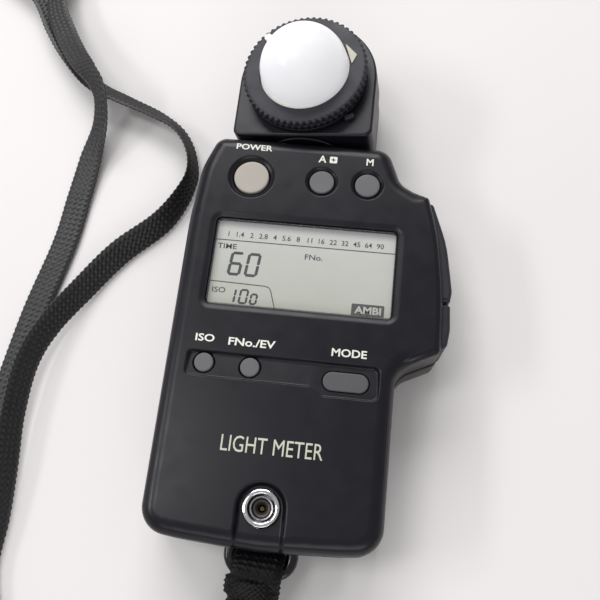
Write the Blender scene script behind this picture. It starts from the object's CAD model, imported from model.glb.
"""Looks of a handheld light meter with a swivelling head, a white dome and a flat braided neck strap.

Shapes are worked out in millimetres, in the part's frame, and written to the scene in metres.
X runs right across the display, Y from the strap lug towards the head, Z up out of the display.
"""
import math

import bpy
import bmesh
import numpy as np
from mathutils import Matrix, Vector
from mathutils.geometry import delaunay_2d_cdt


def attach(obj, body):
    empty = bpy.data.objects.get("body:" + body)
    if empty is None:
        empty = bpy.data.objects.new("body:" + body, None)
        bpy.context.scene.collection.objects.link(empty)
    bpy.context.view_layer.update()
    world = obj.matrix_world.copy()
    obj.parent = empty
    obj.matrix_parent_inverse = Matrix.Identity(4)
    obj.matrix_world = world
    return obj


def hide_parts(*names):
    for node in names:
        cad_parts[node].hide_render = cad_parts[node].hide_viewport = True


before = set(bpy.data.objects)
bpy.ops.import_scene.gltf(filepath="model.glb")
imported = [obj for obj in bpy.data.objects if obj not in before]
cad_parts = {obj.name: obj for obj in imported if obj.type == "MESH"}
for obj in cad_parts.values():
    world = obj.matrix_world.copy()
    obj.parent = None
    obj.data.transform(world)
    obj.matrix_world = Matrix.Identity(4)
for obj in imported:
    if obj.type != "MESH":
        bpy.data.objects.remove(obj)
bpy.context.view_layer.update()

MM = 0.001
GAP = 0.3            # play round the keys, the cover, the lug and the rings
SEAM = 0.04          # half of the hairline between the case halves
WALL = 1.8
FACE = 24.0          # front face above the back
PARTING = 11.5       # joint between the case halves
LIP = 0.3            # how far the rear half stands out
FRONT_EDGE = 4.0     # rounding of the front face's rim
BULGE_EDGE = 1.8     # the same, over the side keys
REAR_EDGE = 3.0
PRINT = 0.015        # half the thickness of printed ink
WELD = 1e-3          # points closer than this become one
CASE_TOP = 37.9
SWIVEL_HEIGHT = 12.2
SWIVEL_REST = math.radians(-7.7)
UPWARD = (0.0, 0.0, 1.0)

# Case outline as corners [x, y, radius], counter-clockwise from the lower left.
CASE_CORNERS = [
    (-29.7, -70.6, 7), (0, -73.9, 180), (30, -70.6, 7), (30, -25.3, 7), (40.95, -19.9, 1.8), (40.75, -4, 60),
    (38.7, 12.5, 60), (35.6, 23.4, 1.6), (27.8, 27.6, 6), (23.6, CASE_TOP, 5), (-25, CASE_TOP, 4),
    (-28.7, 27.5, 20), (-29.7, 12, 60),
]
DISPLAY = {"x": 3.2, "y": 0, "width": 49.6, "height": 25}
ROUND_KEYS = [
    {"name": "power_key", "x": -13.7, "y": 25.1, "radius": 4.84, "dish": 6.5, "depth": 0.85},
    {"name": "auto_key", "x": 5.9, "y": 25.3, "radius": 3.44, "dish": 4.5, "depth": 0.55},
    {"name": "memory_key", "x": 18.5, "y": 25.35, "radius": 3.44, "dish": 4.5, "depth": 0.55},
    {"name": "iso_key", "x": -19.2, "y": -28.3, "radius": 2.5, "dish": 0, "depth": 0},
    {"name": "fnumber_key", "x": -7.2, "y": -28.5, "radius": 2.5, "dish": 0, "depth": 0},
]
KEY_TOP = 23.7
KEY_LOW = 20.4
MODE_KEY = {"x": 17.5, "y": -29.95, "width": 11.7, "height": 5}
# The sunken band round the lower keys has a step in its lower edge.
KEY_BAND = {"left": -23.9, "right": 26.2, "low": -32.1, "lowest": -34.3, "high": -24.9, "step": (8.3, 11.9)}
BAND_CORNERS = [
    (KEY_BAND["left"], KEY_BAND["low"], 1.6), (KEY_BAND["step"][0], KEY_BAND["low"], 2),
    (KEY_BAND["step"][1], KEY_BAND["lowest"], 2), (KEY_BAND["right"], KEY_BAND["lowest"], 2.2),
    (KEY_BAND["right"], KEY_BAND["high"], 2.2), (KEY_BAND["left"], KEY_BAND["high"], 1.6),
]
SYNC = {"y": -62.6, "barrel": 4.5, "channel": 6.4, "depth": 1.7, "slope": 1.25}
SIDE_KEY = {"low": 5.0, "high": 21.5}
MEASURE_KEY_CORNERS = [
    (38.2, -5.6, 0.8), (42.9, -5.6, 0.9), (43.3, -2.4, 4), (41.3, 11, 40), (37, 22.7, 1.1), (33.8, 22.3, 1.1),
    (36.8, 10, 20),
]
UP_DOWN_KEY_CORNERS = [
    (38.2, -18.2, 1.1), (42.6, -18.2, 1.8), (43.3, -13, 8), (43, -6.1, 0.9), (38.2, -6.1, 0.8),
]
POCKET_CORNERS = [
    (34.6, -18.5, 0.4), (50, -18.5, 0.4), (50, 22.9, 0.4), (33.1, 22.9, 0.4), (32.9, 20, 0.4),
    (35.8, 9.5, 20),
]
COVER = {"right": -7.5, "low": -61.8, "high": -4.7, "lip": 6}
SCREWS = [(-24.8, -66.5), (25.1, -66.5), (-22.3, 32.9), (20.4, 32.7)]
LUG = {"half_width": 9.6, "end": -79.6, "bar": 3.2, "low": 6.3, "high": 9.7}
HEAD = {
    "half": 20.1, "rear_half": 19.4, "bottom": 39.2, "centre": 57.5, "face": 11.8, "back": -7.8,
    "parting": 1.7, "neck_bore": 5.3, "bore_depth": 3.8,
}
HEAD_SCREWS = {"sideways": (-13.5, 13.5), "y": 46, "recess": 2.1}
CASE_RECESS = 2.7    # radius of the hole over each case screw
MOUNT = {"inner": 12, "spigot": 12.9, "outer": 17.5, "low": 8.8, "high": 13.2}
STOP = {"x": 13.5, "y": -12.9, "width": 2.8, "depth": 1.5, "turn": 24}
RING = {"radius": 18, "low": 13.5, "high": 17.1}
DOME = {"radius": 12.55, "wall": 1.2, "centre": 17.28, "rim": 14.2, "rim_low": 14.6, "rim_high": 15.6}
TEETH = 60

# Strap centre line [x, y, z, roll in degrees], the same route as the part's.
STRAP = {"width": 8.0, "thickness": 1.8}
WEAVE = 1.7          # spacing of the braid's strands
STRAP_STEP = 0.42    # distance between the rings of its mesh
CURVE_STEPS = 60     # points on the curve between two places of the route
STRAP_ROUTE = [
    (-2.4, -88.3, 8.6, 0), (-3.8, -92.5, 7.6, 0), (-8.5, -101.5, 4.6, 0), (-17, -110, 2.2, 5),
    (-30, -117.5, 1.6, 10), (-45, -120.5, 1.9, 15), (-62, -119, 2.2, 20), (-76, -108.5, 2.2, 20),
    (-83, -91, 1.9, 12), (-83.5, -70, 1.3, 4), (-81.4, -52, 1.1, 0), (-78.9, -34, 1.1, 0),
    (-76, -12.7, 1.1, 0), (-71.7, 9, 1.1, 0), (-70.3, 24, 1.3, 0), (-68.9, 38, 2.4, 10),
    (-66.8, 48, 6.2, 34), (-67.2, 56, 10.4, 50), (-70.7, 62.2, 11.2, 54), (-77.4, 69.8, 9.6, 30),
    (-84, 79.5, 7.6, 20), (-89.6, 90, 6.4, 20), (-92, 102, 5.2, 30), (-88, 117, 4.2, 50),
    (-88, 133, 4, 65), (-99, 146, 4, 70), (-116, 147, 4, 70), (-127, 134, 4, 65),
    (-122, 117, 3.6, 50), (-108, 105, 3.2, 35), (-97, 96, 3, 30), (-89.2, 83.4, 3, 30),
    (-82, 73.5, 3.1, 35), (-72.5, 63.8, 3.6, 38), (-62, 59, 3.9, 42), (-50, 54.2, 3.95, 50),
    (-41.4, 48.7, 4.05, 66), (-36.4, 40, 4.1, 75), (-35.9, 31, 4.05, 72), (-41.9, 18.5, 3.6, 50),
    (-53.5, 6.9, 3.3, 40), (-62, -5.4, 3.8, 45), (-69, -17.6, 5.4, 52), (-72.9, -29, 6, 56),
    (-73.8, -44, 5.6, 58), (-72.8, -59, 4.8, 58), (-72.4, -72, 4.1, 55), (-72.6, -86, 3.8, 50),
    (-67.5, -99, 3.6, 48), (-56, -107, 3.2, 40), (-41, -107, 2.8, 30), (-26, -103.5, 2, 15),
    (-14.5, -99.5, 1.5, 8), (-7, -95.5, 2.2, 0), (-3.4, -91.4, 3.7, 0), (-2.4, -88.3, 4.6, 0),
]

# The strap's end at the lug: a fold over the lug's bar, and two turns of braid round the fold.
HITCH_FOLD = [
    (-2.4, -89.2, 8.4), (-1.8, -85.2, 10.6), (-0.9, -81, 12.2), (-0.3, -77.2, 12.6), (-0.1, -73.9, 11.2),
    (-0.1, -73.3, 7.6), (-0.2, -75.0, 4.6), (-0.6, -78.4, 4), (-1.2, -82.4, 3.6), (-2.4, -89.2, 4.4),
]
HITCH_KNOT = [
    (-7.6, -81.2, 8), (-4.8, -81.8, 12.8), (0, -82.2, 13.7), (3.6, -82, 12), (4.9, -81.6, 8),
    (3.2, -81.4, 3.4), (-1, -81.2, 2.2), (-5.6, -81, 3.4),
]
HITCH_KEEPER = [
    (-6.8, -84.6, 7), (-4.8, -85.0, 11), (-1.6, -85.4, 12), (0.8, -85.8, 10.6), (1.5, -85.8, 7),
    (0.6, -85.4, 3.4), (-2.4, -85, 2.6), (-5.6, -84.6, 3.6),
]

CAMERA_PLACE = (17.67, -68.01, 207.98)
CAMERA_TARGET = (1.84, -1.8, 0)
CAMERA_ROLL = math.radians(-7.54)
CAMERA_LENS = 44.39
FLOOR_HALF = 1500.0


# ---- Outlines ----

def rounded(corners, step_degrees=7):
    """Points round a closed outline of corners (x, y, radius), counter-clockwise."""
    points = []
    for i, (x, y, radius) in enumerate(corners):
        before = corners[i - 1]
        after = corners[(i + 1) % len(corners)]
        arriving = math.atan2(y - before[1], x - before[0])
        leaving = math.atan2(after[1] - y, after[0] - x)
        turn = math.atan2(math.sin(leaving - arriving), math.cos(leaving - arriving))
        side = math.copysign(1, turn)
        tangent = radius * math.tan(abs(turn) / 2)
        centre_x = x - tangent * math.cos(arriving) - side * radius * math.sin(arriving)
        centre_y = y - tangent * math.sin(arriving) + side * radius * math.cos(arriving)
        count = max(2, math.ceil(math.degrees(abs(turn)) / step_degrees) + 1)
        for angle in np.linspace(0, turn, count):
            place = arriving - side * math.pi / 2 + angle
            points.append((centre_x + radius * math.cos(place), centre_y + radius * math.sin(place)))
    return np.array(points)


def spaced(loop, longest=3.0):
    """The same loop with long edges cut into shorter ones."""
    points = []
    for a, b in zip(loop, np.roll(loop, -1, axis=0)):
        count = max(1, math.ceil(np.linalg.norm(b - a) / longest))
        points.extend(a + (b - a) * i / count for i in range(count))
    return np.array(points)


def circle(x, y, radius, count=72):
    angles = np.arange(count) * 2 * math.pi / count
    return np.stack([x + radius * np.cos(angles), y + radius * np.sin(angles)], axis=1)


def rectangle(x, y, width, height, radius):
    half_width, half_height = width / 2, height / 2
    return [
        (x - half_width, y - half_height, radius), (x + half_width, y - half_height, radius),
        (x + half_width, y + half_height, radius), (x - half_width, y + half_height, radius),
    ]


def panel_outline(place, radius, grow=0, step_degrees=7):
    """The rounded outline of a named panel, with its width and height grown or shrunk."""
    width, height = place["width"] + grow, place["height"] + grow
    return rounded(rectangle(place["x"], place["y"], width, height, radius), step_degrees)


def quarter(x, y, radius, count):
    """A quarter circle from +X round to +Y."""
    return [(x + radius * math.cos(a), y + radius * math.sin(a)) for a in np.linspace(0, math.pi / 2, count)]


def moved_in(loop, distance):
    """A counter-clockwise loop moved inwards, or outwards by a negative distance."""
    before = loop - np.roll(loop, 1, axis=0)
    after = np.roll(loop, -1, axis=0) - loop
    before /= np.maximum(np.linalg.norm(before, axis=1, keepdims=True), 1e-9)
    after /= np.maximum(np.linalg.norm(after, axis=1, keepdims=True), 1e-9)
    along = before + after
    along /= np.maximum(np.linalg.norm(along, axis=1, keepdims=True), 1e-9)
    inward = np.stack([-along[:, 1], along[:, 0]], axis=1)
    stretch = 1 / np.maximum((along * after).sum(axis=1, keepdims=True), 0.5)
    return loop + inward * stretch * distance


def depth_inside(points, loop):
    """Distance from each point to the loop, positive inside it."""
    points = np.asarray(points, float)
    start = loop
    edge = np.roll(loop, -1, axis=0) - start
    reach = points[:, None, :] - start[None]
    share = np.clip((reach * edge).sum(2) / np.maximum((edge ** 2).sum(1), 1e-12), 0, 1)
    distance = np.linalg.norm(reach - share[..., None] * edge[None], axis=2).min(axis=1)
    end = start + edge
    above = (start[None, :, 1] > points[:, None, 1]) != (end[None, :, 1] > points[:, None, 1])
    rise = np.where(np.abs(edge[:, 1]) < 1e-12, 1e-12, edge[:, 1])
    cross_x = start[None, :, 0] + (points[:, None, 1] - start[None, :, 1]) / rise[None] * edge[None, :, 0]
    inside = (above & (points[:, None, 0] < cross_x)).sum(axis=1) % 2 == 1
    return np.where(inside, distance, -distance)


def ease(share):
    share = np.clip(share, 0, 1)
    return share * share * (3 - 2 * share)


def edge_drop(depth, radius):
    """How far a rounded rim lies below the face, at a distance in from the outline."""
    reach = np.clip(radius - depth, 0, radius)
    return radius - np.sqrt(radius ** 2 - reach ** 2)


def edge_steps(radius, count=8):
    """Distances in from the outline that space a rounded rim evenly."""
    return [radius * (1 - math.cos(math.pi / 2 * i / count)) for i in range(1, count + 1)]


# ---- Meshes ----

def triangulated(loops, fillers=()):
    """Triangles between an outer loop and the holes in it. Fillers are further loops whose edges are kept."""
    points = []
    edges = []
    for loop in [*loops, *fillers]:
        first = len(points)
        points.extend(Vector(p) for p in loop)
        edges.extend((first + i, first + (i + 1) % len(loop)) for i in range(len(loop)))
    found, _, faces, *_ = delaunay_2d_cdt(points, edges, [], 0, 1e-5, False)
    found = np.array([tuple(p) for p in found])
    faces = np.array(faces)
    centres = found[faces].mean(axis=1)
    keep = depth_inside(centres, loops[0]) > 0
    for hole in loops[1:]:
        keep &= depth_inside(centres, hole) < 0
    faces = faces[keep]
    corner = found[faces]
    first, second = corner[:, 1] - corner[:, 0], corner[:, 2] - corner[:, 0]
    area = first[:, 0] * second[:, 1] - first[:, 1] * second[:, 0]
    faces[area < 0] = faces[area < 0][:, ::-1]
    return found, faces[np.abs(area) > 1e-9]


def rims(faces):
    """Loops of vertex numbers round the open edges of a triangulated plate."""
    ahead = {}
    pairs = {(a, b) for face in faces for a, b in zip(face, np.roll(face, -1))}
    for a, b in pairs:
        if (b, a) not in pairs:
            ahead[a] = b
    loops = []
    while ahead:
        first, following = ahead.popitem()
        loop = [first]
        while following != first:
            loop.append(following)
            following = ahead.pop(following)
        loops.append(loop)
    return loops


class Build:
    """Collects vertices in millimetres and faces, then makes one welded mesh of them."""

    def __init__(self):
        self.points = []
        self.faces = []

    def add(self, points, faces):
        first = len(self.points)
        self.points.extend(tuple(p) for p in points)
        self.faces.extend([first + int(i) for i in face] for face in faces)

    def strip(self, rows):
        """Quads between equally long closed rows of points."""
        rows = [np.asarray(row, float) for row in rows]
        size = len(rows[0])
        quads = [
            (r * size + i, r * size + (i + 1) % size, (r + 1) * size + (i + 1) % size, (r + 1) * size + i)
            for r in range(len(rows) - 1) for i in range(size)
        ]
        self.add(np.concatenate(rows), quads)
        return self

    def solid(self, rows):
        """The same, with the first and the last row filled in."""
        self.strip(rows)
        for row in (rows[0], rows[-1]):
            self.add(row, [list(range(len(row)))])
        return self

    def piece(self, name, material, place=None, sharp=38):
        """One closed mesh object with outward faces and its smooth shading set."""
        mesh = bpy.data.meshes.new(name)
        mesh.from_pydata((np.array(self.points) * MM).tolist(), [], self.faces)
        work = bmesh.new()
        work.from_mesh(mesh)
        bmesh.ops.remove_doubles(work, verts=work.verts, dist=WELD * MM)
        bmesh.ops.dissolve_degenerate(work, edges=work.edges, dist=WELD * MM / 4)
        bmesh.ops.recalc_face_normals(work, faces=work.faces)
        work.to_mesh(mesh)
        work.free()
        if place is not None:
            mesh.transform(place)
        mesh.materials.append(material)
        mesh.shade_smooth()
        mesh.set_sharp_from_angle(angle=math.radians(sharp))
        piece = bpy.data.objects.new(name, mesh)
        bpy.context.scene.collection.objects.link(piece)
        weighted = piece.modifiers.new("even shading", "WEIGHTED_NORMAL")
        weighted.keep_sharp = True
        return piece


def level(loop, height):
    return np.column_stack([loop, np.full(len(loop), float(height))])


def shell(outline, holes, fillers, height, rim_low, ceiling):
    """A hollow case half: a face lifted by height(points), side walls down to rim_low, and the inside."""
    rim_round = 0.25
    build = Build()
    flat, faces = triangulated([outline, *holes], fillers)
    lifted = np.column_stack([flat, height(flat)])
    build.add(lifted, faces)
    inner_loops = []
    for rim in sorted(rims(faces), key=len, reverse=True):
        loop = flat[rim]
        top = lifted[rim]
        area = np.cross(loop, np.roll(loop, -1, axis=0)).sum()
        if area > 0:
            inner = moved_in(loop, WALL)
            inner_loops.insert(0, inner)
            rows = [top]
            rows += [
                np.column_stack([loop, top[:, 2] + (rim_low + rim_round - top[:, 2]) * share])
                for share in (0.33, 0.66, 1)
            ]
            rows.append(level(moved_in(loop, rim_round), rim_low))
            rows.append(level(inner, rim_low))
            rows.append(level(inner, ceiling))
            build.strip(rows)
        else:
            inner_loops.append(loop[::-1])
            build.strip([top, level(loop, ceiling)])
    inside, inside_faces = triangulated(inner_loops)
    build.add(level(inside, ceiling), inside_faces[:, ::-1])
    return build


def stacked(loop, levels):
    """A solid of one outline, from (inset, height) pairs, low to high."""
    return Build().solid([level(moved_in(loop, inset), height) for inset, height in levels])


def soft_levels(low, high, low_round, high_round, count=4):
    """Level pairs for a solid whose lower and upper rims are rounded."""
    turns = [math.pi / 2 * i / count for i in range(count + 1)]
    pairs = [(low_round * (1 - math.sin(t)), low + low_round * (1 - math.cos(t))) for t in turns]
    pairs += [(high_round * (1 - math.cos(t)), high - high_round * (1 - math.sin(t))) for t in turns]
    return pairs


def turned(profile, segments=96):
    """A solid turned about Z from a closed profile of (radius, height), or from one that ends on the axis."""
    angles = np.arange(segments) * 2 * math.pi / segments
    ring = np.column_stack([np.cos(angles), np.sin(angles)])
    return Build().strip([level(radius * ring, height) for radius, height in profile])


def swept(places, across, upward, sections):
    """A tube through places; each section is a ring of (across, up) offsets, one ring for each place."""
    return Build().solid([
        place + section[:, :1] * a + section[:, 1:] * u
        for place, a, u, section in zip(places, across, upward, sections)
    ])


def settle(piece, body, slot, *replaced):
    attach(piece, body)
    if replaced:
        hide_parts(*replaced)
    return piece


def trimmed(piece, cutter, operation):
    """Cuts or keeps a region of a piece, given as a Build, and applies the result."""
    tool = cutter.piece("cutter", piece.data.materials[0])
    step = piece.modifiers.new("trim", "BOOLEAN")
    step.operation = operation
    step.object = tool
    step.solver = "EXACT"
    piece.modifiers.move(len(piece.modifiers) - 1, 0)
    bpy.context.view_layer.update()
    made = bpy.data.meshes.new_from_object(piece.evaluated_get(bpy.context.evaluated_depsgraph_get()))
    piece.modifiers.clear()
    piece.data = made
    made.shade_smooth()
    made.set_sharp_from_angle(angle=math.radians(38))
    piece.modifiers.new("even shading", "WEIGHTED_NORMAL").keep_sharp = True
    bpy.data.objects.remove(tool)
    return piece


def shifted(x, y):
    return Matrix.Translation(Vector((x, y, 0)) * MM)


def block(low, high):
    (x0, y0, z0), (x1, y1, z1) = low, high
    loop = np.array([(x0, y0), (x1, y0), (x1, y1), (x0, y1)], float)
    return Build().solid([level(loop, z0), level(loop, z1)])


# ---- Materials ----

class Paint:
    """A Principled material and short ways to wire procedural detail into it. Sizes are in millimetres."""

    def __init__(self, name, color, roughness, **values):
        self.material = bpy.data.materials.new(name)
        self.material.use_nodes = True
        self.nodes = self.material.node_tree.nodes
        self.links = self.material.node_tree.links
        self.shader = self.nodes["Principled BSDF"]
        self.shader.inputs["Base Color"].default_value = (*color, 1)
        self.shader.inputs["Roughness"].default_value = roughness
        for key, value in values.items():
            self.shader.inputs[key.replace("_", " ")].default_value = value
        self.place = self.nodes.new("ShaderNodeTexCoord").outputs["Object"]

    def node(self, kind, **values):
        made = self.nodes.new(kind)
        for key, value in values.items():
            if hasattr(made, key):
                setattr(made, key, value)
            else:
                made.inputs[key.replace("_", " ")].default_value = value
        return made

    def noise(self, size, detail=2.0, roughness=0.5, stretch=None):
        made = self.node("ShaderNodeTexNoise", Scale=1 / (size * MM), Detail=detail, Roughness=roughness)
        source = self.place
        if stretch:
            mapping = self.node("ShaderNodeMapping")
            mapping.inputs["Scale"].default_value = stretch
            self.links.new(source, mapping.inputs["Vector"])
            source = mapping.outputs["Vector"]
        self.links.new(source, made.inputs["Vector"])
        return made.outputs["Fac"]

    def cells(self, size):
        made = self.node("ShaderNodeTexVoronoi", Scale=1 / (size * MM))
        self.links.new(self.place, made.inputs["Vector"])
        return made.outputs["Distance"]

    def ramp(self, source, low, high, from_low=0.3, from_high=0.7):
        made = self.node("ShaderNodeMapRange")
        made.inputs["From Min"].default_value = from_low
        made.inputs["From Max"].default_value = from_high
        made.inputs["To Min"].default_value = low
        made.inputs["To Max"].default_value = high
        self.links.new(source, made.inputs["Value"])
        return made.outputs["Result"]

    def colors(self, source, dark, light, low=0.3, high=0.7):
        made = self.node("ShaderNodeValToRGB")
        made.color_ramp.elements[0].position = low
        made.color_ramp.elements[0].color = (*dark, 1)
        made.color_ramp.elements[1].position = high
        made.color_ramp.elements[1].color = (*light, 1)
        self.links.new(source, made.inputs["Fac"])
        return made.outputs["Color"]

    def mix(self, share, first, second):
        made = self.node("ShaderNodeMix", data_type="RGBA")
        self.links.new(share, made.inputs[0])
        self.links.new(first, made.inputs[6])
        self.links.new(second, made.inputs[7])
        return made.outputs[2]

    def bump(self, *layers):
        """Layers of (height, depth in millimetres), stacked on each other."""
        normal = None
        for height, depth in layers:
            made = self.node("ShaderNodeBump", Strength=1.0, Distance=depth * MM)
            self.links.new(height, made.inputs["Height"])
            if normal:
                self.links.new(normal, made.inputs["Normal"])
            normal = made.outputs["Normal"]
        self.links.new(normal, self.shader.inputs["Normal"])

    def along(self, axis):
        """The place along one axis of the piece."""
        split = self.node("ShaderNodeSeparateXYZ")
        self.links.new(self.place, split.inputs["Vector"])
        return split.outputs[axis]

    def combine(self, operation, *values):
        """The result of one operation on numbers or node outputs."""
        made = self.node("ShaderNodeMath", operation=operation)
        for value, entry in zip(values, made.inputs):
            if isinstance(value, (int, float)):
                entry.default_value = value
            else:
                self.links.new(value, entry)
        return made.outputs["Value"]

    def set(self, name, source):
        self.links.new(source, self.shader.inputs[name])


def shade(color, factor):
    return tuple(c * factor for c in color)


def moulded(name, color, roughness, grain=0.16, depth=0.008, spread=0.08, **values):
    """Moulded plastic with a fine spark-eroded grain, a little uneven in colour and gloss."""
    paint = Paint(name, color, roughness, **values)
    broad = paint.noise(14, 3)
    fine = paint.noise(grain, 2, 0.6)
    paint.set("Base Color", paint.colors(broad, shade(color, 1 - spread), shade(color, 1 + spread)))
    paint.set("Roughness", paint.ramp(paint.noise(5, 4), roughness * 0.88, roughness * 1.12))
    paint.bump((fine, depth), (paint.cells(grain * 2.4), depth * 0.7))
    return paint.material


def metal(name, color, roughness, scratch=(1, 1, 1)):
    """Plated or turned metal with fine scratches and uneven polish."""
    paint = Paint(name, color, roughness, Metallic=1.0)
    paint.set("Base Color", paint.colors(paint.noise(1.6, 4), shade(color, 0.86), shade(color, 1.06)))
    paint.set("Roughness", paint.ramp(paint.noise(0.5, 5, 0.7), roughness * 0.6, roughness * 1.7))
    paint.bump((paint.noise(0.22, 3, 0.6, scratch), 0.002))
    return paint.material


def braid_material(name, color, shine):
    """Black braid: fibres along each strand, darker in the gaps, with a soft sheen."""
    paint = Paint(name, color, 0.45, Specular_IOR_Level=shine, Sheen_Weight=0.06, Sheen_Roughness=0.45)
    fibres = paint.noise(0.12, 3, 0.7)
    broad = paint.noise(6, 3)
    fresh = paint.colors(fibres, shade(color, 0.5), shade(color, 1.5))
    worn = paint.colors(fibres, shade(color, 0.7), shade(color, 2.2))
    paint.set("Base Color", paint.mix(broad, fresh, worn))
    paint.set("Roughness", paint.ramp(fibres, 0.34, 0.55))
    paint.bump((fibres, 0.02))
    return paint.material


def dome_material():
    """Opal plastic, yellowed a little round its foot; a weak glow stands for light that passes through."""
    white = (0.53, 0.525, 0.543)
    paint = Paint(
        "opal_white", white, 0.3, Coat_Weight=0.05, Coat_Roughness=0.15, Specular_IOR_Level=0.25,
        Subsurface_Weight=0.7, Subsurface_Radius=(1, 0.97, 0.95), Subsurface_Scale=6 * MM,
        Emission_Color=(*white, 1), Emission_Strength=0.66,
    )
    foot = paint.ramp(paint.along("Z"), 1, 0, 28.0 * MM, 30.4 * MM)
    patchy = paint.combine("MULTIPLY", foot, paint.ramp(paint.noise(7, 2), 0, 1, 0.45, 0.6))
    clean = paint.colors(paint.noise(9, 2), shade(white, 0.995), white)
    aged = paint.colors(paint.noise(2, 2), (0.80, 0.76, 0.52), (0.88, 0.86, 0.70))
    paint.set("Base Color", paint.mix(patchy, clean, aged))
    paint.set("Roughness", paint.ramp(paint.noise(3, 3), 0.29, 0.32))
    paint.bump((paint.noise(0.3, 2), 0.0006))
    return paint.material


def lcd_material():
    """Grey-green reflective display with a faint mottle."""
    paint = Paint("display_grey", (0.5, 0.51, 0.48), 0.5, Specular_IOR_Level=0.2)
    upper = paint.ramp(paint.along("Y"), 0, 1, -13 * MM, 13 * MM)
    warm = paint.colors(paint.noise(6, 3), (0.495, 0.508, 0.442), (0.520, 0.533, 0.467))
    cool = paint.colors(paint.noise(6, 3), (0.600, 0.610, 0.590), (0.625, 0.635, 0.615))
    lit = paint.mix(upper, warm, cool)
    below_rim = paint.ramp(paint.along("Y"), 0, 1, 9.6 * MM, 12.3 * MM)
    beside_rim = paint.ramp(paint.along("X"), 1, 0, -22.0 * MM, -21.0 * MM)
    shadow = paint.combine("MAXIMUM", below_rim, beside_rim)
    dim = paint.colors(paint.noise(4, 2), (0.42, 0.425, 0.43), (0.45, 0.455, 0.46))
    paint.set("Base Color", paint.mix(shadow, lit, dim))
    paint.set("Roughness", paint.ramp(paint.noise(0.5, 3), 0.42, 0.58))
    paint.bump((paint.noise(0.12, 2), 0.0006))
    return paint.material


def window_material():
    """Clear acrylic: see-through and polished, less clear where its rounded rim bends the light."""
    paint = Paint("clear_window", (0.10, 0.10, 0.11), 0.05, Specular_IOR_Level=0.9)
    edges = []
    for axis, middle, size in (("X", DISPLAY["x"], DISPLAY["width"]), ("Y", DISPLAY["y"], DISPLAY["height"])):
        reach = paint.combine("ABSOLUTE", paint.combine("SUBTRACT", paint.along(axis), middle * MM))
        edges.append(paint.ramp(reach, 0.07, 0.6, (size / 2 - 0.65) * MM, (size / 2 - 0.4) * MM))
    paint.set("Alpha", paint.combine("MAXIMUM", *edges))
    paint.set("Roughness", paint.ramp(paint.noise(3, 4), 0.04, 0.07))
    return paint.material


def board_material():
    """Solder mask with darker copper lines under it."""
    green = (0.02, 0.12, 0.045)
    paint = Paint("circuit_green", green, 0.35)
    lines = paint.node("ShaderNodeTexBrick", Scale=1 / (3 * MM))
    paint.links.new(paint.place, lines.inputs["Vector"])
    mask = paint.colors(paint.noise(2), shade(green, 0.8), green)
    copper = paint.colors(paint.noise(1), (0.08, 0.2, 0.06), (0.12, 0.26, 0.08))
    paint.set("Base Color", paint.mix(lines.outputs["Fac"], mask, copper))
    paint.bump((lines.outputs["Fac"], 0.03))
    return paint.material


DIM = {"Specular_IOR_Level": 0.3}
CASE_BLACK = moulded("case_charcoal", (0.0054, 0.0048, 0.0086), 0.32, depth=0.002, **DIM)
HEAD_BLACK = moulded("head_charcoal", (0.0075, 0.0068, 0.0110), 0.34, depth=0.002, **DIM)
RING_BLACK = moulded("ring_charcoal", (0.0230, 0.0215, 0.0290), 0.46, grain=0.12, depth=0.005, **DIM)
GLOSS_BLACK = moulded("gloss_black", (0.004, 0.004, 0.005), 0.16, depth=0.002)
DULL_BLACK = moulded("dull_black", (0.004, 0.004, 0.005), 0.5, **DIM)
SIDE_BLACK = moulded("side_key_black", (0.0230, 0.0215, 0.0275), 0.42, grain=0.2, depth=0.010, **DIM)
KEY_GREY = moulded("key_grey", (0.098, 0.096, 0.105), 0.5, grain=0.14, depth=0.014, spread=0.05)
KEY_DARK = moulded("mode_key_grey", (0.064, 0.063, 0.068), 0.5, grain=0.14, depth=0.014, spread=0.05)
KEY_LIGHT = moulded("power_key_grey", (0.35, 0.322, 0.285), 0.42, grain=0.16, depth=0.012, spread=0.04)
INK_WHITE = moulded("white_ink", (0.72, 0.73, 0.66), 0.55, depth=0.002, spread=0.05)
INK_DIM = moulded("silver_ink", (0.50, 0.52, 0.42), 0.45, depth=0.002, spread=0.05)
INK_DARK = moulded("segment_black", (0.050, 0.053, 0.056), 0.6, depth=0.001, spread=0.1)
INK_GREY = moulded("segment_grey", (0.075, 0.078, 0.078), 0.6, depth=0.001, spread=0.1)
MARK_CREAM = moulded("mark_cream", (0.41, 0.40, 0.315), 0.5, grain=0.35, depth=0.04, spread=0.25)
CHROME = metal("bright_nickel", (0.78, 0.78, 0.80), 0.1)
DULL_CHROME = metal("worn_nickel", (0.36, 0.36, 0.38), 0.3)
STEEL = metal("plain_steel", (0.5, 0.5, 0.52), 0.3, (6, 1, 1))
SCREW_BLACK = metal("black_oxide", (0.06, 0.06, 0.065), 0.35)
BRASS = metal("turned_brass", (0.62, 0.45, 0.2), 0.25)
DARK_BRASS = metal("tarnished_brass", (0.10, 0.075, 0.04), 0.4)
PHENOLIC = moulded("brown_phenolic", (0.040, 0.032, 0.027), 0.4)
RUBBER = moulded("grey_rubber", (0.09, 0.09, 0.095), 0.75)
ELASTOMER = moulded("contact_rubber", (0.5, 0.42, 0.26), 0.7)
CHIP = moulded("chip_black", (0.02, 0.02, 0.021), 0.6)
JACKET = metal("cell_jacket", (0.22, 0.23, 0.27), 0.3)
CELL = moulded("silicon_cell", (0.03, 0.035, 0.07), 0.2)
FILTER = moulded("filter_tint", (0.2, 0.42, 0.36), 0.1)
BOARD = board_material()
BRAID = braid_material("black_braid", (0.0110, 0.0105, 0.0125), 0.5)
KNOT_BRAID = braid_material("knot_braid", (0.0030, 0.0028, 0.0035), 0.18)
OPAL = dome_material()
LCD = lcd_material()
WINDOW = window_material()

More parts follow.
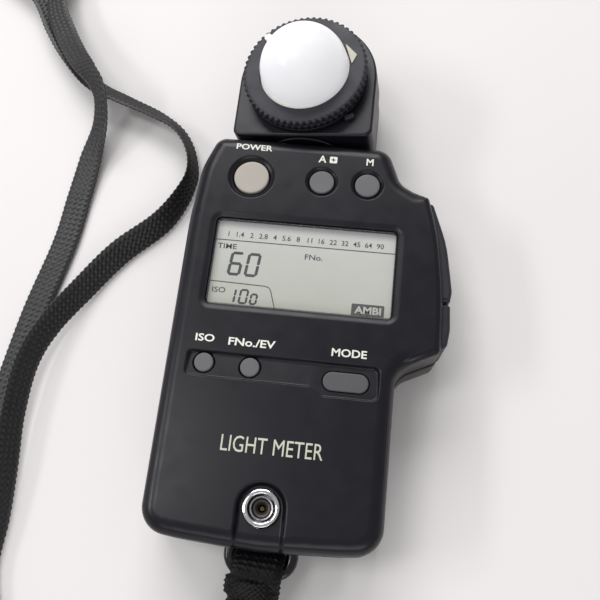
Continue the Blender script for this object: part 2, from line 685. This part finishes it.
# CAD nodes that stay as they are get their finish here.
NODE_LOOKS = {
    BOARD: ["main_board", "side_switch_board", "sensor_board"],
    CHIP: ["processor", "measure_switch", "up_switch", "down_switch"],
    DULL_BLACK: ["display_frame", "battery_chamber", "filter_holder"],
    ELASTOMER: ["display_contact_upper", "display_contact_lower"],
    RUBBER: ["key_sheet_upper", "key_sheet_lower", "head_lead"],
    STEEL: ["sync_nut", "plus_contact", "minus_spring", "friction_washer", "shaft_clip"],
    BRASS: ["swivel_bush"],
    DARK_BRASS: ["sync_contact"],
    JACKET: ["battery"],
    CELL: ["photocell"],
    FILTER: ["correction_filter"],
    SCREW_BLACK: [f"case_screw_{i}" for i in range(1, 5)] + [f"head_screw_{i}" for i in (1, 2)],
}


def dress_nodes():
    for material, names in NODE_LOOKS.items():
        for name in names:
            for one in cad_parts[name].material_slots:
                one.material = material


# ---- Camera, floor and light ----

def aimed(place, target):
    """The turn of a camera or lamp at a place that looks at a target."""
    return (Vector(target) - Vector(place)).to_track_quat("-Z", "Y")


def add_camera():
    camera = bpy.data.objects.new("camera", bpy.data.cameras.new("camera"))
    bpy.context.scene.collection.objects.link(camera)
    camera.data.lens = CAMERA_LENS
    camera.data.sensor_width = 36
    camera.data.clip_start = 0.01
    turn = aimed(CAMERA_PLACE, CAMERA_TARGET).to_matrix().to_4x4() @ Matrix.Rotation(CAMERA_ROLL, 4, "Z")
    camera.matrix_world = Matrix.Translation(Vector(CAMERA_PLACE) * MM) @ turn
    bpy.context.scene.camera = camera


def add_floor():
    build = Build()
    half = FLOOR_HALF
    build.add([(-half, -half, 0), (half, -half, 0), (half, half, 0), (-half, half, 0)], [(0, 1, 2, 3)])
    paint = Paint("pale_table", (0.74, 0.715, 0.715), 0.6)
    paint.set("Base Color", paint.colors(paint.noise(120, 2), (0.73, 0.705, 0.705), (0.75, 0.725, 0.725)))
    floor = build.piece("floor", paint.material)


def add_light(name, place, target, size, power):
    lamp = bpy.data.lights.new(name, "AREA")
    lamp.shape = "RECTANGLE"
    lamp.size, lamp.size_y = size
    lamp.energy = power
    light = bpy.data.objects.new(name, lamp)
    bpy.context.scene.collection.objects.link(light)
    light.location = Vector(place)
    light.rotation_mode = "QUATERNION"
    light.rotation_quaternion = aimed(place, target)


def add_lights():
    world = bpy.data.worlds.new("studio")
    bpy.context.scene.world = world
    world.use_nodes = True
    world.node_tree.nodes["Background"].inputs["Color"].default_value = (1, 0.985, 0.985, 1)
    world.node_tree.nodes["Background"].inputs["Strength"].default_value = 0.41
    add_light("back_light", (-0.35, 1.25, 1.15), (0, 0, 0), (1.3, 0.8), 21)
    add_light("window_light", (-1.2, -0.1, 0.95), (0, 0, 0.02), (0.6, 0.16), 5)
    add_light("front_light", (0.15, -1.15, 0.75), (0, 0, 0.02), (1.2, 0.4), 4)
    add_light("left_light", (-0.5, 0.05, 1.2), (0, 0, 0), (0.25, 0.4), 3)
    bpy.context.scene.view_settings.view_transform = "Standard"


# ---- Strap ----

def unit(vectors):
    return vectors / np.linalg.norm(vectors, axis=1, keepdims=True)


def travelled(path):
    """Distance along a path at each of its points."""
    return np.concatenate([[0], np.cumsum(np.linalg.norm(np.diff(path, axis=0), axis=1))])


def on_curve(before, start, end, after, share):
    """A point on the Catmull-Rom curve from start to end."""
    return 0.5 * (
        2 * start + (end - before) * share + (2 * before - 5 * start + 4 * end - after) * share ** 2
        + (3 * start - before - 3 * end + after) * share ** 3
    )


def smooth_path(points, steps, closed=False):
    """A smooth path through a few points; a closed one runs on a little past its start."""
    points = np.array(points, float)
    if closed:
        padded = np.vstack([points[-1:], points, points[:2]])
    else:
        padded = np.vstack([2 * points[0] - points[1], points, 2 * points[-1] - points[-2]])
    path = [
        on_curve(*padded[i:i + 4], share)
        for i in range(len(padded) - 3) for share in np.linspace(0, 1, steps, endpoint=False)
    ]
    overlap = 3
    return np.array(path + (path[:overlap] if closed else [points[-1]]))


def strap_line():
    """Places, rolls and distances along the strap, evenly spaced, on the part's own curve."""
    route = np.array(STRAP_ROUTE, float)
    path = smooth_path(route[:, :3], CURVE_STEPS)
    rolls = np.interp(np.arange(len(path)) / CURVE_STEPS, np.arange(len(route)), np.radians(route[:, 3]))
    distances = travelled(path)
    along = np.linspace(0, distances[-1], int(distances[-1] / STRAP_STEP))
    even = [np.interp(along, distances, values) for values in (*path.T, rolls)]
    return np.column_stack(even[:3]), even[3], along


def frames_along(places, rolls):
    """Directions of the strap's width and of its upper side, rolled about its line."""
    tangents = unit(np.gradient(places, axis=0))
    across = unit(np.cross(UPWARD, tangents))
    upright = np.cross(tangents, across)
    turn_cos, turn_sin = np.cos(rolls)[:, None], np.sin(rolls)[:, None]
    return across * turn_cos - upright * turn_sin, upright * turn_cos + across * turn_sin


def weave_height(along, side, pitch):
    """Height from 0 to 1 of two families of strands that cross on the slant, over two and under two."""
    crown, shoulder, second_share = 0.6, 0.35, 0.72
    first, second = (along + side) / pitch, (along - side) / pitch
    over = (np.floor(first) + np.floor(second)) % 2
    wave_first, wave_second = np.abs(np.sin(math.pi * first)), np.abs(np.sin(math.pi * second))
    return np.where(
        over > 0, wave_first ** crown * wave_second ** shoulder,
        second_share * (wave_second ** crown * wave_first ** shoulder),
    )


def braid_sections(along, widths, thickness, columns=25, relief=0.75, pitch=WEAVE):
    """Rings of a flat braid: strands raised on both faces and a serrated edge."""
    notch, least, back_shift = 0.3, 0.12, 0.8
    sides = np.linspace(-1, 1, columns)
    lens = thickness / 2 * np.sqrt(np.clip(1 - np.abs(sides) ** 6, 0, 1))
    sections = []
    for distance, width in zip(along, np.broadcast_to(widths, len(along))):
        edge = width / 2 - notch * math.sin(math.pi * distance / pitch) ** 2
        top, low = (
            np.maximum(lens - relief * (1 - weave_height(distance + shift, sides * width / 2, pitch)), least)
            for shift in (0, back_shift)
        )
        upper = np.column_stack([sides * edge, top])
        lower = np.column_stack([sides[::-1] * edge, -low[::-1]])
        sections.append(np.vstack([upper, lower]))
    return sections


def add_strap():
    places, rolls, along = strap_line()
    across, upward = frames_along(places, rolls)
    sections = braid_sections(along, STRAP["width"], STRAP["thickness"])
    strap = swept(places, across, upward, sections).piece("neck_strap", BRAID, sharp=80)
    return settle(strap, "housing", "strap", "strap"), places


def braid_loop(name, path, sideways, width, thickness):
    """A short stretch of braid along a path; sideways is the direction of its width."""
    tangents = unit(np.gradient(path, axis=0))
    across = np.tile(np.array(sideways, float), (len(path), 1))
    across = unit(across - tangents * (across * tangents).sum(axis=1, keepdims=True))
    sections = braid_sections(travelled(path), width, thickness, columns=27, relief=0.8, pitch=1.3)
    return swept(path, across, np.cross(tangents, across), sections).piece(name, KNOT_BRAID, sharp=80)


def add_hitch():
    """The strap's end looped round the lug's bar and drawn tight through itself."""
    steps = 14      # points between two places of a path
    fold = smooth_path(HITCH_FOLD, steps)
    spread = 5.4 * ease((fold[:, 1] + 85) / 7)      # the fold widens towards the lug's bar
    main = braid_loop("strap_fold", fold, (1, 0, 0), STRAP["width"] + spread, 2.6)
    settle(main, "housing", "strap", "strap_hitch")
    knot = braid_loop("strap_knot", smooth_path(HITCH_KNOT, steps, closed=True), (0, 1, 0), 4.6, 2.2)
    settle(knot, "housing", "strap")
    keeper = braid_loop("strap_keeper", smooth_path(HITCH_KEEPER, steps, closed=True), (0.1, 1, 0), 3.4, 1.8)
    settle(keeper, "housing", "strap")
    return [main, knot, keeper]


# ---- Case ----

OUTLINE = spaced(rounded(CASE_CORNERS))
DISPLAY_HOLE = spaced(panel_outline(DISPLAY, 1.6))
BAND = spaced(rounded(BAND_CORNERS))
MODE_HOLE = panel_outline(MODE_KEY, 2.75, 2 * GAP)
BEZEL = 1.7
BEZEL_DROP = 0.32


def channel_outline(half):
    """The U-shaped recess round the sync terminal, open past the case's lower edge."""
    arc = [(half * math.cos(a), SYNC["y"] + half * math.sin(a)) for a in np.linspace(0, math.pi, 40)]
    return spaced(np.array([(half, -80), *arc, (-half, -80)]), 2)


CHANNEL = channel_outline(SYNC["channel"])


def rim_radius(points):
    """Radius of the front face's rim: smaller over the side keys, with a soft change at both ends."""
    start, blend = (31, 27.5), (5, 3)
    over_keys = ease((points[:, 0] - start[0]) / blend[0]) * ease((start[1] - points[:, 1]) / blend[1])
    return FRONT_EDGE + (BULGE_EDGE - FRONT_EDGE) * over_keys


def front_height(points):
    """Height of the front face: rounded rim, key dishes, key band, display bezel and sync channel."""
    depth = depth_inside(points, OUTLINE)
    height = FACE - edge_drop(depth, rim_radius(points))
    lip_drop, lip_width = 0.2, 0.25
    for key in ROUND_KEYS:
        from_key = np.hypot(points[:, 0] - key["x"], points[:, 1] - key["y"])
        hole = key["radius"] + GAP
        if key["dish"]:
            share = np.clip((from_key - hole) / (key["dish"] - hole), 0, 1)
            height -= key["depth"] * (1 - share ** 2)
        height -= lip_drop * (1 - ease((from_key - hole) / lip_width))
    step_start, step_end = KEY_BAND["step"]
    step = ease((points[:, 0] - step_start) / (step_end - step_start))
    low = KEY_BAND["low"] + (KEY_BAND["lowest"] - KEY_BAND["low"]) * step
    slope = np.clip((points[:, 1] - low) / (KEY_BAND["high"] - low), 0, 1)
    sunken, wall = 0.28 + 0.95 * slope, 0.35 + 0.9 * slope      # deeper towards the display
    height -= sunken * ease(depth_inside(points, BAND) / wall)
    from_display = -depth_inside(points, DISPLAY_HOLE)
    height -= BEZEL_DROP * (1 - ease(from_display / BEZEL))
    in_channel = depth_inside(points, CHANNEL)
    return height - SYNC["depth"] * ease(in_channel / SYNC["slope"])


def front_case():
    """The front half. Fillers are loops where the face bends, so that the mesh follows its shape."""
    holes = [DISPLAY_HOLE, MODE_HOLE, circle(0, SYNC["y"], SYNC["barrel"] + 0.25)]
    holes += [circle(k["x"], k["y"], k["radius"] + GAP) for k in ROUND_KEYS]
    edges = (*edge_steps(BULGE_EDGE, 5), *edge_steps(FRONT_EDGE), FRONT_EDGE + 0.3)
    fillers = [moved_in(OUTLINE, d) for d in edges]
    fillers += [moved_in(DISPLAY_HOLE, -BEZEL * share) for share in (0.12, 0.3, 0.5, 0.7, 0.88, 1, 1.18)]
    fillers += [moved_in(BAND, d) for d in (-0.25, 0, 0.12, 0.25, 0.4, 0.6, 0.8, 1.0, 1.25, 1.5)]
    fillers += [moved_in(CHANNEL, d) for d in (-0.25, 0, 0.15, 0.35, 0.6, 0.85, 1.1, 1.25, 1.5)]
    for key in ROUND_KEYS:
        hole = key["radius"] + GAP
        reach = key["dish"] - hole if key["dish"] else 0.3
        steps = (0.08, 0.16, 0.25, *(reach * share for share in (0.35, 0.55, 0.75, 0.9, 1)), reach + 0.25)
        fillers += [circle(key["x"], key["y"], hole + d) for d in sorted(steps)]
    build = shell(OUTLINE, holes, fillers, front_height, PARTING + SEAM, 20.9)
    piece = build.piece("front_shell", CASE_BLACK)
    trimmed(piece, key_pocket(), "DIFFERENCE")
    return settle(piece, "housing", "case_black", "front_case")


def key_pocket():
    return stacked(rounded(POCKET_CORNERS), [(0, SIDE_KEY["low"] - GAP), (0, SIDE_KEY["high"] + GAP)])


REAR_OUTLINE = moved_in(OUTLINE, -LIP)
REAR_OUTLINE[:, 1] = np.minimum(REAR_OUTLINE[:, 1], CASE_TOP)
THUMB = {"x": -17, "y": -15.5, "width": 13, "height": 9, "rib": 1.8, "depth": 0.75}


def rear_height(points):
    """Height of the back above the case's inside, seen from behind: rounded rim and a ribbed thumb rest."""
    drop = edge_drop(depth_inside(points, REAR_OUTLINE), REAR_EDGE)
    rest = depth_inside(points, spaced(panel_outline(THUMB, 2)))
    ribs = 0.5 + 0.5 * np.cos((points[:, 1] - THUMB["y"]) * 2 * math.pi / THUMB["rib"])
    return -drop - THUMB["depth"] * ease(rest / 0.5) * (1 - 0.85 * ribs)


def rear_case():
    holes = [circle(x, y, CASE_RECESS, 40) for x, y in SCREWS]
    rest = spaced(panel_outline(THUMB, 2), 1)
    fillers = [moved_in(REAR_OUTLINE, d) for d in edge_steps(REAR_EDGE)]
    fillers += [moved_in(rest, d) for d in (0, 0.15, 0.3, 0.5)]
    lines = np.arange(THUMB["y"] - 3.9, THUMB["y"] + 4, 0.3)
    half = THUMB["width"] / 2 - 0.6
    fillers += [np.array([(THUMB["x"] - half, y), (THUMB["x"], y), (THUMB["x"] + half, y)]) for y in lines]
    build = shell(REAR_OUTLINE, holes, fillers, rear_height, -(PARTING - SEAM), -WALL)
    build.points = [(x, y, -z) for x, y, z in build.points]
    piece = build.piece("rear_shell", CASE_BLACK)
    cover = piece.copy()
    cover.data = piece.data.copy()
    cover.name = "battery_door"
    bpy.context.scene.collection.objects.link(cover)
    left, low, high, right, lip = -60, COVER["low"], COVER["high"], COVER["right"], COVER["lip"]
    trimmed(piece, block((left, low - GAP, -1), (right + GAP, high + GAP, lip + GAP)), "DIFFERENCE")
    trimmed(cover, block((left, low, -1), (right, high, lip)), "INTERSECT")
    trimmed(piece, key_pocket(), "DIFFERENCE")
    half = LUG["half_width"] + GAP
    trimmed(piece, block((-half, -90, LUG["low"] - GAP), (half, -70, LUG["high"] + GAP)), "DIFFERENCE")
    settle(cover, "battery_cover", "case_black", "battery_cover")
    return settle(piece, "housing", "case_black", "rear_case")


# ---- Keys and display ----

def add_round_key(key):
    radius = key["radius"]
    bead = 0.35
    arc = quarter(radius - bead, KEY_TOP - bead, bead, 6)
    crown = [(radius * share, KEY_TOP) for share in (0.8, 0.5, 0.25)]
    profile = [(0, KEY_LOW), (radius, KEY_LOW), *arc, *crown, (0, KEY_TOP)]
    material = KEY_LIGHT if key["name"] == "power_key" else KEY_GREY
    piece = turned(profile).piece(key["name"] + "_cap", material, shifted(key["x"], key["y"]))
    settle(piece, key["name"], "key_light" if material == KEY_LIGHT else "key_grey", key["name"])


def add_keys():
    for key in ROUND_KEYS:
        add_round_key(key)
    mode = stacked(panel_outline(MODE_KEY, 2.45, 0, 6), soft_levels(KEY_LOW, 23.6, 0.05, 0.4))
    settle(mode.piece("mode_key_cap", KEY_DARK), "mode_key", "key_grey", "mode_key")
    for name, corners in (("measure_key", MEASURE_KEY_CORNERS), ("up_down_key", UP_DOWN_KEY_CORNERS)):
        loop = spaced(rounded(corners, 5), 1.5)
        cap = stacked(loop, soft_levels(SIDE_KEY["low"], SIDE_KEY["high"], 0.9, 1.05, 7))
        settle(cap.piece(name + "_cap", SIDE_BLACK), name, "side_key", name)


def add_window():
    loop = spaced(panel_outline(DISPLAY, 1.3, -2 * GAP, 6))
    window = stacked(loop, soft_levels(22.35, 23.7, 0.05, 0.55, 6)).piece("window_lens", WINDOW)
    settle(window, "housing", "window_clear", "display_window")
    panel = stacked(loop, [(0.1, 20.0), (0.1, 22.1), (0.15, 22.15)]).piece("lcd_glass", LCD)
    settle(panel, "housing", "lcd_panel", "display_panel")


SEGMENTS = {"0": "abcdef", "1": "bc", "6": "acdefg"}


def segment_bars(character, x, y, width, height, stroke):
    """Bars of one seven-segment digit with mitred ends, as polygons, leaning a little to the right."""
    middle = y + height / 2
    left, right, top = x, x + width, y + height
    lean, gap = 0.1, 0.05
    ends = {
        "a": ((left, top), (right, top)), "d": ((left, y), (right, y)),
        "g": ((left, middle), (right, middle)),
        "f": ((left, middle), (left, top)), "b": ((right, middle), (right, top)),
        "e": ((left, y), (left, middle)), "c": ((right, y), (right, middle)),
    }
    bars = []
    for name in SEGMENTS[character]:
        start, end = (np.array(p, float) for p in ends[name])
        along = (end - start) / np.linalg.norm(end - start)
        side = np.array([-along[1], along[0]]) * stroke / 2
        start, end = start + along * gap, end - along * gap
        tip = along * stroke / 3
        bar = [start, start + tip - side, end - tip - side, end, end - tip + side, start + tip + side]
        bars.append([(px + (py - y) * lean, py) for px, py in bar])
    return bars


def ink(polygons, low, high):
    """Thin solid ink from flat polygons."""
    build = Build()
    for polygon in polygons:
        loop = np.array(polygon, float)
        if np.cross(loop, np.roll(loop, -1, axis=0)).sum() < 0:
            loop = loop[::-1]
        build.solid([level(loop, low), level(loop, high)])
    return build


def lettering(name, words, z, material, bold=0.02):
    """Text as thin solid ink. Each word is (text, middle x, middle y, height, width or None)."""
    work = bmesh.new()
    for text, x, y, height, width in words:
        curve = bpy.data.curves.new("text", "FONT")
        curve.body = text
        curve.extrude = 0.02
        curve.offset = bold
        curve.resolution_u = 3
        carrier = bpy.data.objects.new("text", curve)
        bpy.context.scene.collection.objects.link(carrier)
        bpy.context.view_layer.update()
        mesh = bpy.data.meshes.new_from_object(carrier.evaluated_get(bpy.context.evaluated_depsgraph_get()))
        bpy.data.objects.remove(carrier)
        co = np.array([v.co for v in mesh.vertices])
        low, high = co.min(axis=0), co.max(axis=0)
        scale_y = height / (high[1] - low[1])
        scale_x = width / (high[0] - low[0]) if width else scale_y
        middle = (low + high) / 2
        thin = 2 * PRINT / max(high[2] - low[2], 1e-6)
        mesh.transform(Matrix.Diagonal((scale_x, scale_y, thin, 1)) @ Matrix.Translation(-Vector(middle)))
        mesh.transform(Matrix.Scale(MM, 4) @ Matrix.Translation((x, y, z)))
        work.from_mesh(mesh)
        bpy.data.meshes.remove(mesh)
    made = bpy.data.meshes.new(name)
    bmesh.ops.remove_doubles(work, verts=work.verts, dist=1e-7)
    work.to_mesh(made)
    work.free()
    made.materials.append(material)
    piece = bpy.data.objects.new(name, made)
    bpy.context.scene.collection.objects.link(piece)
    return piece


def add_display_figures():
    """What the display shows: aperture scale, shutter time, film speed and mode."""
    plane = 22.18
    scale = ["1", "1.4", "2", "2.8", "4", "5.6", "8", "11", "16", "22", "32", "45", "64", "90"]
    words = [(text, -17.9 + 3.18 * i, 8.25, 1.45, None) for i, text in enumerate(scale)]
    words += [("TIME", -17.85, 4.6, 1.5, 5.2), ("FNo.", 5.9, 3.4, 1.5, 4.8), ("ISO", -18.4, -8.0, 1.5, 3.6)]
    settle(lettering("display_words", words, plane, INK_DARK, 0.008), "housing", "lcd_panel")
    digits = [
        ("6", -16.6, -3.3, 2.9, 6.1, 0.78), ("0", -12.0, -3.3, 2.9, 6.1, 0.78),
        ("1", -16.0, -11.2, 1.9, 3.7, 0.56), ("0", -12.7, -11.2, 1.9, 3.7, 0.56),
        ("0", -9.7, -11.2, 1.5, 2.7, 0.56),
    ]
    bars = [bar for digit in digits for bar in segment_bars(*digit)]
    line, half_length, scale_line = 0.12, 24.3, 6.4
    x0, x1 = DISPLAY["x"] - half_length, DISPLAY["x"] + half_length
    y0, y1 = scale_line - line, scale_line + line
    bars.append([(x0, y0), (x1, y0), (x1, y1), (x0, y1)])
    fence = [(x0, -5.6), (-6.2, -5.95), (-5.2, -6.25), (-4.6, -6.9), (-2.9, -12.1)]
    for start, end in zip(np.array(fence[:-1]), np.array(fence[1:])):
        along = (end - start) / np.linalg.norm(end - start)
        side = np.array([-along[1], along[0]]) * line
        start, end = start - along * line * 0.4, end + along * line * 0.4
        bars.append([start - side, end - side, end + side, start + side])
    segments = ink(bars, plane - PRINT, plane + PRINT).piece("display_segments", INK_DARK)
    settle(segments, "housing", "lcd_panel")
    x, y = 21.5, -10.1
    field = ink([rounded(rectangle(x, y, 8.6, 3.3, 0.4))], plane - PRINT, plane + PRINT)
    settle(field.piece("display_mode_panel", INK_GREY), "housing", "lcd_panel")
    word = lettering("display_mode_word", [("AMBI", x, y, 2.0, 7.0)], plane + 2 * PRINT, LCD, 0.03)
    settle(word, "housing", "lcd_panel")


def add_labels():
    """Printed words beside the keys."""
    lift = 0.005
    face = FACE + lift
    words = [
        ("POWER", -13.95, 34.2, 1.75, 10.2), ("A", 5.45, 32.2, 2.2, None), ("M", 18.65, 32.3, 2.1, None),
        ("ISO", -19.7, -21.9, 2.0, 5.0), ("FNo./EV", -7.4, -22.2, 2.1, 12.2),
        ("MODE", 17.75, -22.5, 2.1, 9.0),
    ]
    settle(lettering("key_labels", words, face, INK_WHITE), "housing", "case_black")
    x, y = 8.5, 32.15
    mark = ink([rounded(rectangle(x, y, 2.1, 2.0, 0.3))], face - PRINT, face + PRINT)
    settle(mark.piece("flash_mark", INK_WHITE), "housing", "case_black")
    rays = [(i * math.pi / 4, 0.25 if i % 2 else 0.75) for i in range(8)]
    star = [(x + r * math.sin(a), y + r * math.cos(a)) for a, r in reversed(rays)]
    star = ink([star], face + PRINT, face + 2 * PRINT).piece("flash_mark_star", DULL_BLACK)
    settle(star, "housing", "case_black")
    title = [("LIGHT METER", 0.9, -48, 4.0, 25.4)]
    settle(lettering("title_print", title, face, INK_DIM, 0), "housing", "case_black")


# ---- Sync terminal and lug ----

def add_sync():
    at = shifted(0, SYNC["y"])
    barrel = [
        (1.6, 14.5), (4.5, 14.5), (4.5, 23.35), (4.42, 23.58), (4.2, 23.7), (3.75, 23.7), (3.5, 23.6),
        (3.32, 23.3), (3.3, 15.5), (1.6, 15.5), (1.6, 14.5),
    ]
    settle(turned(barrel).piece("sync_barrel_plated", CHROME, at), "housing", "chrome", "sync_barrel")
    sleeve = [(3.0, 16.5), (3.0, 22.4), (2.85, 22.6), (2.5, 22.55), (2.3, 22.2), (2.25, 16.5), (3.0, 16.5)]
    settle(turned(sleeve).piece("sync_sleeve_plated", DULL_CHROME, at), "housing", "chrome", "sync_sleeve")
    core = [
        (0.9, 15.9), (2.2, 15.9), (2.2, 21.5), (2.1, 21.65), (1.6, 21.5), (1.1, 20.6), (0.9, 20), (0.9, 15.9),
    ]
    insulator = turned(core).piece("sync_insulator_moulded", PHENOLIC, at)
    settle(insulator, "housing", "insulator", "sync_insulator")


def rounded_section(width, height, radius, count=6):
    points = []
    for i, (sx, sy) in enumerate(((1, 1), (-1, 1), (-1, -1), (1, -1))):
        for a in np.linspace(0, math.pi / 2, count):
            angle = a + i * math.pi / 2
            points.append((sx * (width / 2 - radius) + radius * math.cos(angle),
                           sy * (height / 2 - radius) + radius * math.sin(angle)))
    return np.array(points)


def add_lug():
    """A black loop with its two feet in the case."""
    half = LUG["half_width"] - LUG["bar"] / 2
    end = LUG["end"] + LUG["bar"] / 2
    middle = (LUG["low"] + LUG["high"]) / 2
    bend = 4.4
    path = [(-half, -68.0), (-half, -71)]
    turns = np.linspace(0, math.pi / 2, 14)
    path += [(-half + bend - bend * math.cos(a), end + bend - bend * math.sin(a)) for a in turns]
    path += [(-x, y) for x, y in reversed(path)]
    places = np.array([(x, y, middle) for x, y in path])
    across = np.cross(UPWARD, unit(np.gradient(places, axis=0)))
    upward = np.tile(UPWARD, (len(places), 1))
    section = rounded_section(LUG["bar"], LUG["high"] - LUG["low"], 1.3)
    loop = swept(places, across, upward, [section] * len(places)).piece("strap_loop", GLOSS_BLACK)
    settle(loop, "housing", "deep_black", "strap_lug")


# ---- Head ----

HEAD_PLACE = Matrix.Translation((0, 0, SWIVEL_HEIGHT * MM)) @ Matrix.Rotation(SWIVEL_REST, 4, "Y")
ON_DISC = HEAD_PLACE @ Matrix.Translation((0, HEAD["centre"] * MM, 0))
HEAD_EDGE = 0.75


def head_outline(half):
    """A square foot and a round top, like an arched window."""
    corner, top, round_top = 2.4, HEAD["centre"] + half, half - 0.01
    corners = [
        (-half, HEAD["bottom"], corner), (half, HEAD["bottom"], corner), (half, top, round_top),
        (-half, top, round_top),
    ]
    return spaced(rounded(corners, 4))


def head_half(name, half, hole_list, face, seam, sign):
    """One half of the head: sign is 1 for the front and -1 for the rear."""
    loop = head_outline(half)
    fillers = [moved_in(loop, d) for d in (*edge_steps(HEAD_EDGE, 6), HEAD_EDGE + 0.25)]

    def height(points):
        return face - edge_drop(depth_inside(points, loop), HEAD_EDGE)

    build = shell(loop, hole_list, fillers, height, seam, face - WALL)
    build.points = [(x, y, sign * z) for x, y, z in build.points]
    radius, low, high = HEAD["neck_bore"], HEAD["bottom"] - 1.2, HEAD["bottom"] + HEAD["bore_depth"]
    bore = turned([(0, low), (radius, low), (radius, high), (0, high)], 48)
    bore.points = [(x, z, -y) for x, y, z in bore.points]
    piece = trimmed(build.piece(name, HEAD_BLACK), bore, "DIFFERENCE")
    piece.data.transform(HEAD_PLACE)
    return piece


def add_head():
    hole = circle(0, HEAD["centre"], 13.2)
    front = head_half("head_front_shell", HEAD["half"], [hole], HEAD["face"], HEAD["parting"] + SEAM, 1)
    settle(front, "head", "case_black", "head_front")
    recesses = [circle(x, HEAD_SCREWS["y"], HEAD_SCREWS["recess"], 36) for x in HEAD_SCREWS["sideways"]]
    seam = SEAM - HEAD["parting"]
    rear = head_half("head_rear_shell", HEAD["rear_half"], recesses, -HEAD["back"], seam, -1)
    settle(rear, "head", "case_black", "head_rear")


def add_neck():
    """Shaft with a wide round flange between the case and the head."""
    profile = [
        (2.2, 30.4), (3.8, 30.4), (3.8, 38.15), (11.0, 38.15), (11.35, 38.25), (11.5, 38.5), (11.45, 38.8),
        (11.2, 39.0), (10.8, 39.08), (10.3, 39.0), (9.9, 38.85), (5.2, 38.85), (5, 39.1), (5, 41.3),
        (5.7, 41.3), (5.7, 42.4), (2.2, 42.4), (2.2, 30.4),
    ]
    upright = HEAD_PLACE @ Matrix.Rotation(-math.pi / 2, 4, "X")
    neck = turned(profile, 144).piece("neck_flange", GLOSS_BLACK, upright)
    settle(neck, "head", "deep_black", "neck_shaft")


def add_mount():
    floor = HEAD["face"] + GAP
    inner, spigot, outer, low, high = (MOUNT[k] for k in ("inner", "spigot", "outer", "low", "high"))
    profile = [
        (inner, low), (spigot, low), (spigot, floor), (outer - 0.1, floor), (outer, floor + 0.1),
        (outer, high - 0.3), (outer - 0.1, high - 0.1), (outer - 0.3, high), (inner, high), (inner, low),
    ]
    mount = turned(profile, 120).piece("bayonet_flange", DULL_BLACK, ON_DISC)
    settle(mount, "head", "inner_black", "bayonet_mount")
    loop = rounded(rectangle(0, 0, STOP["width"], STOP["depth"], 0.4), 15)
    place = ON_DISC @ shifted(STOP["x"], STOP["y"]) @ Matrix.Rotation(math.radians(STOP["turn"]), 4, "Z")
    stop = stacked(loop, soft_levels(floor, high, 0.05, 0.25)).piece("ring_stop", RING_BLACK, place)
    settle(stop, "head", "inner_black", "diffuser_stop")


def toothed(profile):
    """A turned ring whose profile rows (radius, height, tooth depth, phase) are knurled."""
    segments = TEETH * 8
    angles = np.arange(segments) * 2 * math.pi / segments
    ring = np.column_stack([np.cos(angles), np.sin(angles)])
    rows = []
    for radius, height, tooth, phase in profile:
        wave = np.abs(2 * ((angles * TEETH / (2 * math.pi) + phase) % 1) - 1)
        reach = radius - tooth * np.clip(wave * 1.5 - 0.25, 0, 1)
        rows.append(level(reach[:, None] * ring, height))
    return Build().strip(rows)


def add_diffuser():
    deep, shallow, half_tooth = 0.7, 0.55, 0.5
    radius, low, high = RING["radius"], RING["low"], RING["high"]
    opening, seat, shelf = DOME["radius"] + GAP, DOME["rim"] + GAP, DOME["rim_high"] + GAP
    grip = [
        (1.5, high, 0, 0), (0.9, high - 0.05, 0, 0), (0.25, high - 0.3, deep * 0.8, 0),
        (0, high - 0.65, deep, 0), (0, high - 1.35, deep, 0), (0.2, high - 1.55, deep, 0),
        (1.05, high - 1.65, 0, 0), (1.05, high - 1.85, 0, 0), (0.55, high - 1.95, shallow, half_tooth),
        (0.3, high - 2.2, shallow, half_tooth), (0.3, low + 0.4, shallow, half_tooth),
        (0.6, low + 0.1, shallow, half_tooth), (1.4, low, 0, 0),
    ]
    profile = [
        (opening, shelf, 0, 0), (opening, high - 0.3, 0, 0), (opening + 0.25, high, 0, 0),
        *((radius - inset, *row) for inset, *row in grip),
        (seat, low, 0, 0), (seat, shelf, 0, 0), (opening, shelf, 0, 0),
    ]
    ring = toothed(profile).piece("knurled_ring", RING_BLACK, ON_DISC, sharp=32)
    settle(ring, "diffuser", "case_black", "diffuser_ring")
    dome = turned(dome_profile(), 128).piece("opal_dome", OPAL, ON_DISC)
    settle(dome, "diffuser", "diffuser_white", "diffuser_dome")
    outline = rounded(rectangle(14.7, 0, 3.8, 2.2, 0.8), 12)
    place = ON_DISC @ Matrix.Rotation(math.radians(138), 4, "Z")
    tab = stacked(outline, soft_levels(high + 0.02, high + 0.9, 0.05, 0.3)).piece("dome_tab", OPAL, place)
    settle(tab, "diffuser", "diffuser_white")
    arrow = rounded([(11.0, 8.1, 0.15), (13.5, 1.2, 0.15), (14.75, 4.2, 0.2)], 20)
    mark = stacked(arrow, soft_levels(high + 0.02, high + 0.35, 0.02, 0.12, 2))
    settle(mark.piece("index_arrow", MARK_CREAM, ON_DISC), "diffuser", "mark_cream", "index_mark")


def dome_profile():
    radius, wall, centre = DOME["radius"], DOME["wall"], DOME["centre"]
    outer = [(0, centre + radius), *quarter(0, centre, radius, 24)[-2::-1]]
    inner = [*quarter(0, centre, radius - wall, 24)[:-1], (0, centre + radius - wall)]
    rim = [
        (radius, DOME["rim_high"]), (DOME["rim"], DOME["rim_high"]), (DOME["rim"], DOME["rim_low"]),
        (radius - wall, DOME["rim_low"]),
    ]
    return [*outer, *rim, *inner]


add_camera()
strap, strap_places = add_strap()
hitch = add_hitch()
dress_nodes()
front_case()
rear_case()
add_keys()
add_window()
add_display_figures()
add_labels()
add_sync()
add_lug()
add_head()
add_neck()
add_mount()
add_diffuser()
add_floor()
add_lights()
